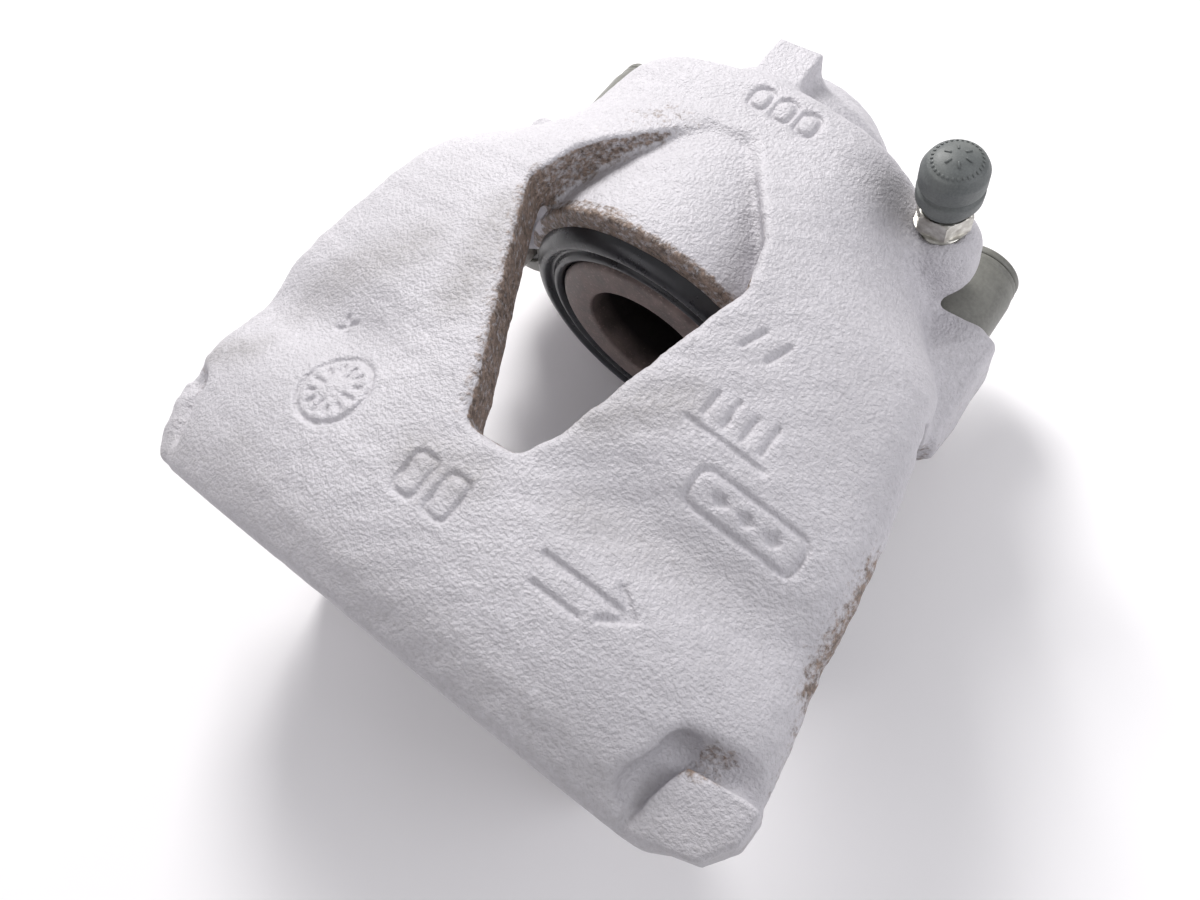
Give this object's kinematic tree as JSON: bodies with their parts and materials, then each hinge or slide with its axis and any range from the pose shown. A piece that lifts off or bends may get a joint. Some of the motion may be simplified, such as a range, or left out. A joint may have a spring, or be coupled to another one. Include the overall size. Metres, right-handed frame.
{
  "type": "floating disc brake caliper",
  "caption": "Floating brake caliper with a V window bridge, a piston with dust boot, guide pins in rubber bushes and a capped bleed screw.",
  "frame": {"origin": "centre of the bounding box's bottom face: the caliper stands on its barrel and finger tips", "axes": "-Y outboard towards the fingers, +Y inboard towards the closed end of the cylinder, +X along the pads, +Z radially outward from the wheel axle to the bridge"},
  "size_m": [0.166, 0.172, 0.0843],
  "materials": {
    "cast_body": "sprayed silver-white over sand-cast iron, fine grit",
    "piston_steel": "dull brown-grey steel",
    "black_rubber": "moulded rubber, slight sheen",
    "cap_rubber": "dusty grey rubber",
    "bush_rubber": "olive-grey moulded, satin",
    "liner_plastic": "black low-friction plastic",
    "plated_steel": "zinc plated"
  },
  "bodies": {
    "casting": {"housing": "cast_body", "piston_seal": "black_rubber", "dust_boot": "black_rubber", "boot_ring": "plated_steel", "guide_bush_left": "bush_rubber", "guide_bush_right": "bush_rubber", "guide_liner_left": "liner_plastic", "guide_liner_right": "liner_plastic"},
    "piston": {"piston": "piston_steel"},
    "pin_left": {"guide_pin_left": "plated_steel"},
    "pin_right": {"guide_pin_right": "plated_steel"},
    "cap_left": {"guide_cap_left": "bush_rubber"},
    "cap_right": {"guide_cap_right": "bush_rubber"},
    "bleeder": {"bleed_screw": "plated_steel"},
    "bleed_cap": {"bleed_cap": "cap_rubber"}
  },
  "joints": [
    {"name": "piston_slide", "type": "slide", "parent": "casting", "child": "piston", "axis": [0, -1, 0], "range_m": [-0.003, 0.025], "deforming": ["dust_boot"]},
    {"name": "float_right", "type": "slide", "parent": "casting", "child": "pin_right", "axis": [0, 1, 0], "range_m": [-0.002, 0.01]},
    {"name": "float_left", "type": "slide", "parent": "casting", "child": "pin_left", "axis": [0, 1, 0], "range_m": [-0.002, 0.01]},
    {"name": "cap_right_pull", "type": "slide", "parent": "casting", "child": "cap_right", "axis": [0, 1, 0], "range_m": [0, 0.02]},
    {"name": "cap_left_pull", "type": "slide", "parent": "casting", "child": "cap_left", "axis": [0, 1, 0], "range_m": [0, 0.02]},
    {"name": "bleed_turn", "type": "hinge", "parent": "casting", "child": "bleeder", "pos_m": [0.047, 0.0545, 0.063], "axis": [0, 0, 1], "range_deg": [0, 360]},
    {"name": "bleed_cap_pull", "type": "slide", "parent": "bleeder", "child": "bleed_cap", "axis": [0, 0, 1], "range_m": [0, 0.02]}
  ],
  "couplings": [
    {"joint": "float_left", "follows": "float_right", "ratio": 1}
  ]
}
